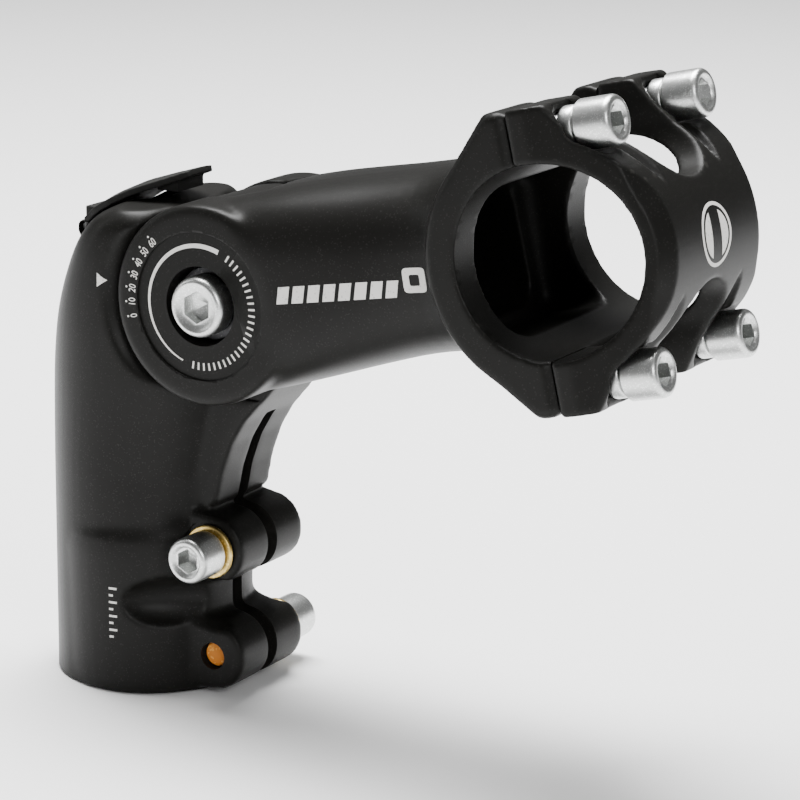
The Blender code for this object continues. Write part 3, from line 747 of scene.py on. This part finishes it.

# ------------------------------------------------------------------ collars and washers
# Turned collars under the faceplate screws, a plain washer under the pivot screw's head, coloured
# near-black as painted shade for its recess, and yellow passivated washers under the two clamp screws.

yellow_zinc = finish("yellow_zinc", (0.66, 0.44, 0.12), (0.50, 0.40, 0.16), (0.80, 0.62, 0.25),
                     (0.85, 0.7, 0.35), 1.0, (0.25, 0.42), 3200.0, 0.1, 0.008)


def collar_blank(bm, bore, outer, length, edge):
    """Ring with rounded rims, standing on its origin."""
    profile = [(bore, 0.25), (bore + 0.2, 0.0), (outer - edge, 0.0)]
    for start, centre in ((-90, edge), (0, length - edge)):
        for step in range(1, 6):
            angle = math.radians(start + 90 * step / 5)
            profile.append((outer - edge + edge * math.cos(angle), centre + edge * math.sin(angle)))
    profile += [(bore + 0.2, length), (bore, length - 0.25)]
    rings = []
    for radius, height in profile:
        rings.append([bm.verts.new((radius * math.cos(2 * math.pi * i / TURNS),
                                    radius * math.sin(2 * math.pi * i / TURNS), height))
                      for i in range(TURNS)])
    for lower, upper in zip(rings, rings[1:] + rings[:1]):
        for index in range(TURNS):
            after = (index + 1) % TURNS
            bm.faces.new((lower[index], lower[after], upper[after], upper[index]))
    bmesh.ops.recalc_face_normals(bm, faces=bm.faces)


def collar(name, node, axis, sizes, metal):
    """Collar or washer in the place of its CAD node, whose lowest point along the axis it takes."""
    low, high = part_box(node)
    middle = (low + high) / 2
    outward = Vector(axis).normalized()
    item = settle(shape(name, collar_blank, *sizes), 40)
    dress(item, metal, node, node)
    item.matrix_world = (Matrix.Translation(middle - outward * sizes[2] * MM / 2)
                         @ outward.to_track_quat("Z", "Y").to_matrix().to_4x4())


for place in PLACES:
    collar("collar_" + place, "faceplate_washer_" + place, ALONG, (2.75, 3.5, 2.9, 0.8),
           bright_zinc)
collar("upper_yellow_washer", "upper_clamp_washer", (0, -1, 0), (2.75, 4.9, 1.0, 0.3),
       yellow_zinc)
collar("lower_yellow_washer", "lower_clamp_washer", (0, 1, 0), (2.75, 4.9, 1.0, 0.3),
       yellow_zinc)
# Painted shade: the pivot washer gets a near-black colour so it reads as the shaded gap round the pivot
# screw's head, not as lit metal.
shaded_recess_black = finish("shaded_recess_black", (0.05, 0.05, 0.052), (0.035, 0.035, 0.037), (0.09, 0.09, 0.09),
                    (0.16, 0.16, 0.16), 1.0, (0.3, 0.5), 3200.0, 0.1, 0.008)
collar("pivot_plain_washer", "pivot_washer", (0, -1, 0), (4.2, 6.6, 1.2, 0.3), shaded_recess_black)

# ------------------------------------------------------------------ pivot nut
# Hexagon nut held in the far ear's six-sided seat, with its corners turned off.

NUT_R = 7.5
NUT_LENGTH = 4.6


def nut_blank(bm):
    rod(bm, NUT_R, 0, NUT_LENGTH, (0, 0, 0), "Y", sides=6)


def nut_cuts(bm):
    rod(bm, 4.1, -1, NUT_LENGTH + 1, (0, 0, 0), "Y")
    rod(bm, 4.1, NUT_LENGTH - 0.5, NUT_LENGTH + 0.3, (0, 0, 0), "Y", end_radius=5.0)


def nut_turning(bm):
    """Shape that a lathe leaves: a short barrel with both its rims bevelled."""
    profile = [(6.4, 0.0), (8.4, 1.0), (8.4, NUT_LENGTH - 1.0), (6.4, NUT_LENGTH)]
    for (low_r, low), (high_r, high) in zip(profile, profile[1:]):
        rod(bm, low_r, low, high, (0, 0, 0), "Y", end_radius=high_r)


nut = shape("hex_nut", nut_blank)
turning = shape("nut_turning", nut_turning)
bpy.context.view_layer.objects.active = turning
fuse = turning.modifiers.new("fuse", "REMESH")
fuse.mode = "VOXEL"
fuse.voxel_size = 0.25 * MM
settle(turning)
trim = nut.modifiers.new("trim", "BOOLEAN")
trim.operation = "INTERSECT"
trim.solver = "MANIFOLD"
trim.object = turning
settle(nut)
bpy.data.objects.remove(turning, do_unlink=True)
cut_all(nut, nut_cuts)
low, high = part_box("pivot_nut")
nut.matrix_world = Matrix.Translation((PIVOT.x * MM, low.y, PIVOT.z * MM)) @ ARM.to_3x3().to_4x4()
dress(nut, bright_zinc, "extension_arm", "pivot_nut")

# ------------------------------------------------------------------ top cover
# Thin moulded flap of matt black plastic over the access hole, hinged at its rear.

cover_plastic = finish("cover_plastic", (0.012, 0.012, 0.0115), (0.017, 0.017, 0.016),
                       (0.02, 0.02, 0.02), (0.035, 0.035, 0.034), 0.0, (0.48, 0.64), 2600.0, 0.04,
                       0.03)
cover = soften(shape("cover_flap", welded_copy, "top_cover"), 0.2, 8)
dress(cover, cover_plastic, "top_cover", "top_cover")

# ------------------------------------------------------------------ printed marks
# White pad-printed ink, a few hundredths of a millimetre thick: an angle scale with its
# pointer, a tapering arc and a ring of ticks round the pivot, and plain trim marks.

INK = 0.05
SIDE_ON = Matrix(((1, 0, 0, 0), (0, 0, -1, 0), (0, 1, 0, 0), (0, 0, 0, 1)))
SCALE_R = 13.9
SCALE_START = 193.3
SCALE_STEP = 10
RING_R = 10.6
white_ink = finish("white_ink", (0.62, 0.61, 0.58), (0.72, 0.71, 0.68), (0.5, 0.49, 0.47),
                   (0.66, 0.65, 0.62), 0.0, (0.45, 0.6), 4000.0, 0.05, 0.004, reach=0.7)


def polar(radius, degrees):
    angle = math.radians(degrees)
    return Vector((radius * math.cos(angle), radius * math.sin(angle), 0))


def patch(bm, outline):
    bm.faces.new([bm.verts.new((point[0], point[1], 0)) for point in outline])


def arc_band(bm, radius, start, end, start_width, end_width, steps=90):
    """Curved line whose width changes evenly along it."""
    pairs = []
    for step in range(steps + 1):
        share = step / steps
        half = (start_width + (end_width - start_width) * share) / 2
        degrees = start + (end - start) * share
        pairs.append([bm.verts.new(polar(radius + offset, degrees)) for offset in (-half, half)])
    for (inner, outer), (next_inner, next_outer) in zip(pairs, pairs[1:]):
        bm.faces.new((inner, outer, next_outer, next_inner))


def digits(bm, text, height, centre, degrees):
    """Adds a flat number whose upright runs along the given direction."""
    curve = bpy.data.curves.new("digits", "FONT")
    curve.body = text
    curve.size = height / 0.69
    curve.align_x = "CENTER"
    curve.align_y = "CENTER"
    curve.resolution_u = 6
    item = bpy.data.objects.new("digits", curve)
    bpy.context.collection.objects.link(item)
    mesh = bpy.data.meshes.new_from_object(item)
    narrow = Matrix.Rotation(math.radians(degrees - 90), 4, "Z") @ Matrix.Diagonal((0.75, 1, 1, 1))
    mesh.transform(Matrix.Translation(centre) @ narrow)
    bm.from_mesh(mesh)
    bpy.data.objects.remove(item, do_unlink=True)


def angle_scale(bm):
    for count in range(7):
        degrees = SCALE_START - SCALE_STEP * count
        digits(bm, str(10 * count), 1.35, polar(SCALE_R, degrees), degrees)
        patch(bm, [polar(SCALE_R + 1.3, degrees) + polar(0.2, 60 * step) for step in range(6)])


def pivot_ring(bm):
    arc_band(bm, RING_R, 69, 250, 0.85, 0.25)
    for degrees in range(58, -100, -6):
        arc_band(bm, RING_R, degrees - 0.9, degrees + 0.9, 1.3, 1.3, 2)


def pointer(bm):
    patch(bm, [(2.9, 75.8), (1.0, 77.0), (1.0, 74.5)])


def level_dashes(bm):
    """Column of short dashes beside the clamp screws."""
    for count in range(8):
        foot = 10.2 + 1.3 * count
        width = 1.5 if count % 2 else 0.8
        patch(bm, [(2.9, foot), (2.9 + width, foot), (2.9 + width, foot + 0.4), (2.9, foot + 0.4)])


def side_trim(bm):
    """Row of slanted blocks that ends in a rounded square frame, on the arm's flank."""
    fall = Matrix.Rotation(math.radians(-4), 4, "Z")
    for count in range(8):
        start = 16.4 + 3.0 * count
        corners = [(start, -0.1), (start + 2.2, -0.1), (start + 3.0, 2.8), (start + 0.8, 2.8)]
        patch(bm, [fall @ Vector((*corner, 0)) for corner in corners])
    middle = Vector((43.6, 2.7, 0))
    outer = [middle + Vector((2.3 * math.copysign(abs(math.cos(a)) ** 0.3, math.cos(a)),
                              2.1 * math.copysign(abs(math.sin(a)) ** 0.3, math.sin(a)), 0))
             for a in (2 * math.pi * (step + 0.5) / 48 for step in range(48))]
    rings = [[bm.verts.new(fall @ (middle + (point - middle) * size)) for point in outer]
             for size in (1.0, 0.45)]
    for step in range(48):
        after = (step + 1) % 48
        bm.faces.new((rings[0][step], rings[0][after], rings[1][after], rings[1][step]))


def round_badge(bm):
    arc_band(bm, 5.0, 0, 360, 0.6, 0.6)
    for start in (-66, 114):
        patch(bm, [polar(4.1, start + 6 * step) for step in range(23)])


def printed(name, drawing, plane, surface, body):
    """Lays a flat drawing on a surface, seen straight on, as a thin film of ink."""
    item = shape(name, drawing)
    bm = bmesh.new()
    bm.from_mesh(item.data)
    bmesh.ops.remove_doubles(bm, verts=bm.verts, dist=0.002 * MM)
    bmesh.ops.triangulate(bm, faces=bm.faces)
    for _ in range(4):
        long = [edge for edge in bm.edges if edge.calc_length() > 0.7 * MM]
        bmesh.ops.subdivide_edges(bm, edges=long, cuts=1)
        bmesh.ops.triangulate(bm, faces=bm.faces)
    place = Matrix.Scale(MM, 4) @ plane @ Matrix.Scale(1 / MM, 4)
    outward = (plane.to_3x3() @ Vector((0, 0, 1))).normalized()
    tree = BVHTree.FromPolygons([surface.matrix_world @ vert.co for vert in surface.data.vertices],
                                [face.vertices[:] for face in surface.data.polygons])
    for vert in bm.verts:
        start = place @ vert.co + outward * 60 * MM
        hit = tree.ray_cast(start, -outward)[0]
        vert.co = hit + outward * INK * 0.4 * MM
    bm.normal_update()
    upright = sum((face.normal.dot(outward) for face in bm.faces), 0.0)
    if upright < 0:
        bmesh.ops.reverse_faces(bm, faces=bm.faces)
    bm.to_mesh(item.data)
    bm.free()
    film = item.modifiers.new("film", "SOLIDIFY")
    film.thickness = INK * MM
    film.offset = 0
    settle(item, 60)
    item.data.materials.clear()
    item.data.materials.append(white_ink)
    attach(item, body)


printed("angle_scale", angle_scale, Matrix.Translation(PIVOT) @ SIDE_ON, arm, "extension_arm")
printed("pivot_ring_print", pivot_ring, Matrix.Translation(PIVOT) @ SIDE_ON, arm, "extension_arm")
printed("side_trim", side_trim, ARM @ SIDE_ON, arm, "extension_arm")
printed("scale_pointer", pointer, SIDE_ON, clamp, "steerer_clamp")
printed("level_dashes", level_dashes, SIDE_ON, clamp, "steerer_clamp")
FRONT_ON = Matrix(((0, 0, 1, 0), (1, 0, 0, 0), (0, 1, 0, 0), (0, 0, 0, 1)))
printed("round_badge", round_badge,
        ARM @ Matrix.Translation((ARM_LENGTH, 0, -1.4)) @ FRONT_ON, faceplate, "faceplate")
